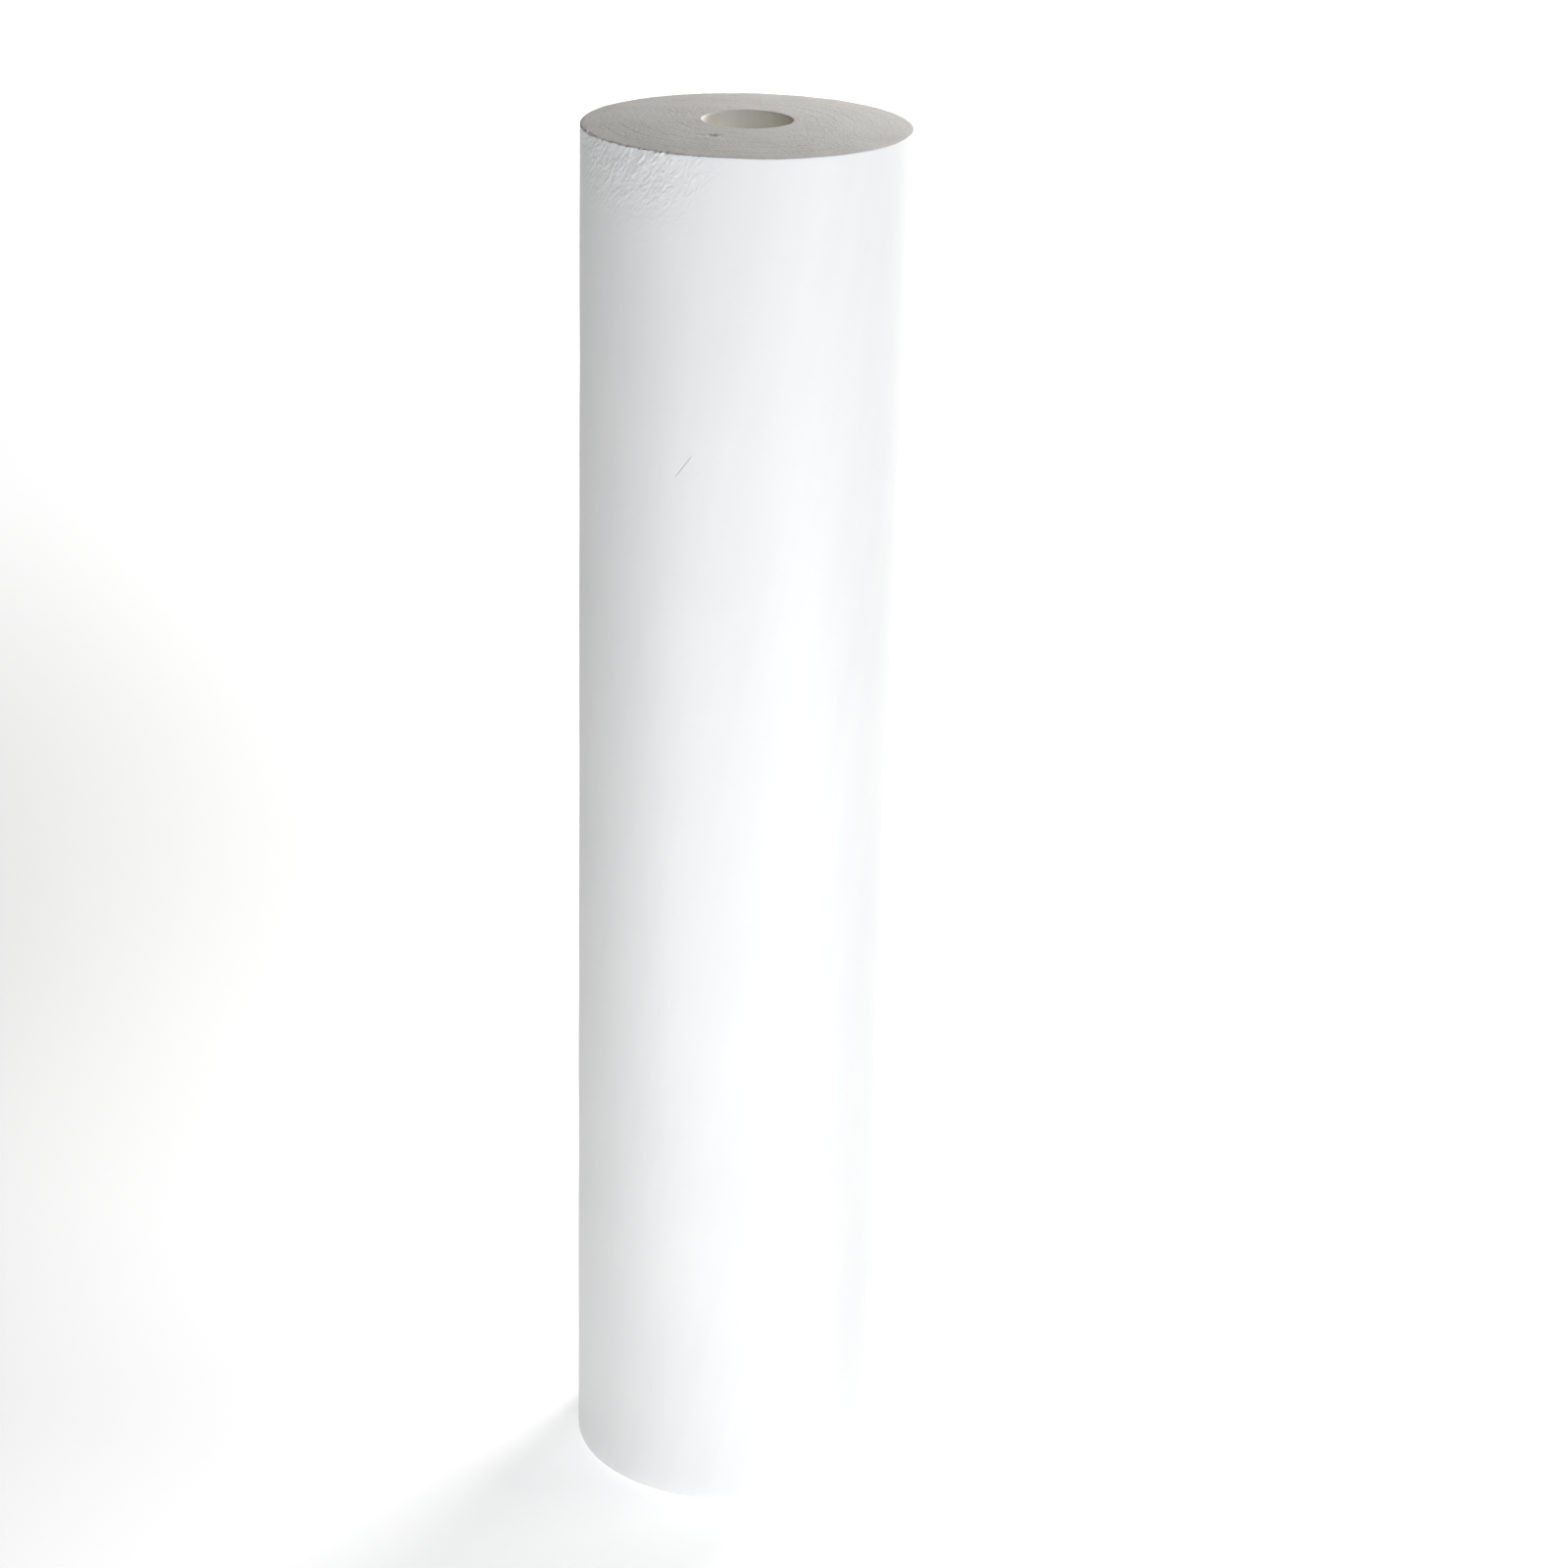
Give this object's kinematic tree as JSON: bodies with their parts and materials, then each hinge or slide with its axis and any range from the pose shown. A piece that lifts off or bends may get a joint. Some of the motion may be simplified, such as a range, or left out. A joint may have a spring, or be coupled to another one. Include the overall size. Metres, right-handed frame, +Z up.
{
  "type": "foam roller",
  "caption": "Plain round foam roller for massage and exercise, with a bore through its centre, a smooth outer skin and one slightly crowned end.",
  "frame": {"origin": "centre of the flat end, which the roller stands on", "axes": "+Z runs up the axis of the bore to the crowned end; X and Y lie across the round section, which has no front: -Y is the side seen in the picture"},
  "size_m": [0.1, 0.1, 0.45],
  "materials": {
    "core_foam": "dense polyethylene foam tube, off-white, fine cells, matt",
    "ply_foam": "closed-cell polyethylene foam, white, cut cells showing on the ends, matt",
    "skin_foam": "heat-smoothed skin of closed-cell polyethylene foam, white, soft satin"
  },
  "bodies": {
    "root": {"core_sleeve": "core_foam", "foam_ply_1": "ply_foam", "foam_ply_2": "ply_foam", "foam_ply_3": "ply_foam", "foam_ply_4": "ply_foam", "foam_ply_5": "ply_foam", "foam_ply_6": "ply_foam", "outer_skin": "skin_foam"}
  },
  "joints": []
}
